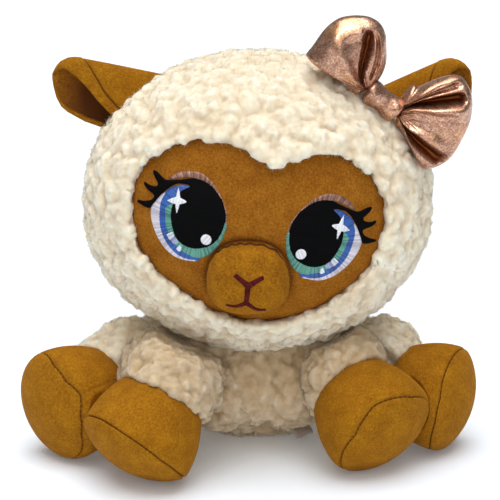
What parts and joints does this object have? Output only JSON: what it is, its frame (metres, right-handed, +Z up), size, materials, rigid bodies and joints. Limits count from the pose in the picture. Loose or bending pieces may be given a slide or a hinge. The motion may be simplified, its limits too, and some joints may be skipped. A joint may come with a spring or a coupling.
{
  "type": "plush sheep",
  "caption": "Seated plush sheep with a large round fleece head, an inset suede face, stuffed muzzle, folded ears, suede hooves and a metallic fabric bow.",
  "frame": {"origin": "middle of the flat patch under the body that the sheep sits on", "axes": "+Z up, the face looks toward -Y, +X toward the sheep's own left ear and the side of the bow"},
  "size_m": [0.2113, 0.1552, 0.2009],
  "materials": {
    "fleece": "curled sherpa pile, matt",
    "suede": "brushed faux suede, matt",
    "ear_lining": "brushed faux suede, matt, darker",
    "eye_thread": "satin-stitched thread, blue, teal, white and black",
    "lash_thread": "satin-stitched black thread",
    "nose_thread": "satin-stitched thread",
    "bow_cloth": "grained cloth with a rose-gold metallic coat",
    "label_satin": "bare woven satin ribbon"
  },
  "bodies": {
    "torso": {"torso_fleece": "fleece", "sewn_label": "label_satin"},
    "head": {"head_fleece": "fleece", "face_panel": "suede", "muzzle": "suede", "nose_mouth_stitching": "nose_thread", "right_eye": "eye_thread", "left_eye": "eye_thread", "right_lashes": "lash_thread", "left_lashes": "lash_thread", "bow_knot": "bow_cloth", "bow_upper_loop": "bow_cloth", "bow_lower_loop": "bow_cloth"},
    "right_ear": {"right_ear_outer": "suede", "right_ear_lining": "ear_lining"},
    "left_ear": {"left_ear_outer": "suede", "left_ear_lining": "ear_lining"},
    "tail": {"tail": "fleece"},
    "front_right_leg": {"front_right_sleeve": "fleece", "front_right_hoof": "suede", "front_right_sole": "suede"},
    "front_left_leg": {"front_left_sleeve": "fleece", "front_left_hoof": "suede", "front_left_sole": "suede"},
    "hind_right_leg": {"hind_right_sleeve": "fleece", "hind_right_hoof": "suede", "hind_right_sole": "suede"},
    "hind_left_leg": {"hind_left_sleeve": "fleece", "hind_left_hoof": "suede", "hind_left_sole": "suede"}
  },
  "joints": [
    {"name": "head_turn", "type": "hinge", "parent": "torso", "child": "head", "pos_m": [0, -0.021, 0.115], "axis": [0, 0, 1], "range_deg": [-20, 20], "stiffness_Nm_per_rad": 0.25},
    {"name": "right_ear_fold", "type": "hinge", "parent": "head", "child": "right_ear", "pos_m": [-0.05556, -0.016, 0.16104], "axis": [-0.1908, 0, -0.9816], "range_deg": [-20, 25], "stiffness_Nm_per_rad": 0.004},
    {"name": "left_ear_fold", "type": "hinge", "parent": "head", "child": "left_ear", "pos_m": [0.06169, -0.016, 0.15489], "axis": [-0.4067, 0, 0.9135], "range_deg": [0, 25], "stiffness_Nm_per_rad": 0.004},
    {"name": "front_right_lift", "type": "hinge", "parent": "torso", "child": "front_right_leg", "pos_m": [-0.03087, -0.02486, 0.038], "axis": [-1, 0, 0], "range_deg": [0, 15], "stiffness_Nm_per_rad": 0.3, "springref_deg": -6.88},
    {"name": "front_left_lift", "type": "hinge", "parent": "torso", "child": "front_left_leg", "pos_m": [0.03087, -0.02486, 0.038], "axis": [-1, 0, 0], "range_deg": [0, 15], "stiffness_Nm_per_rad": 0.3, "springref_deg": -6.88},
    {"name": "hind_right_swing", "type": "hinge", "parent": "torso", "child": "hind_right_leg", "pos_m": [-0.04055, -0.00368, 0.034], "axis": [0, 0, -1], "range_deg": [0, 30], "stiffness_Nm_per_rad": 0.08},
    {"name": "hind_left_swing", "type": "hinge", "parent": "torso", "child": "hind_left_leg", "pos_m": [0.04055, -0.00368, 0.034], "axis": [0, 0, 1], "range_deg": [0, 30], "stiffness_Nm_per_rad": 0.08},
    {"name": "tail_wag", "type": "hinge", "parent": "torso", "child": "tail", "pos_m": [0, 0.03504, 0.033], "axis": [0, 0, 1], "range_deg": [-20, 20], "stiffness_Nm_per_rad": 0.01}
  ]
}
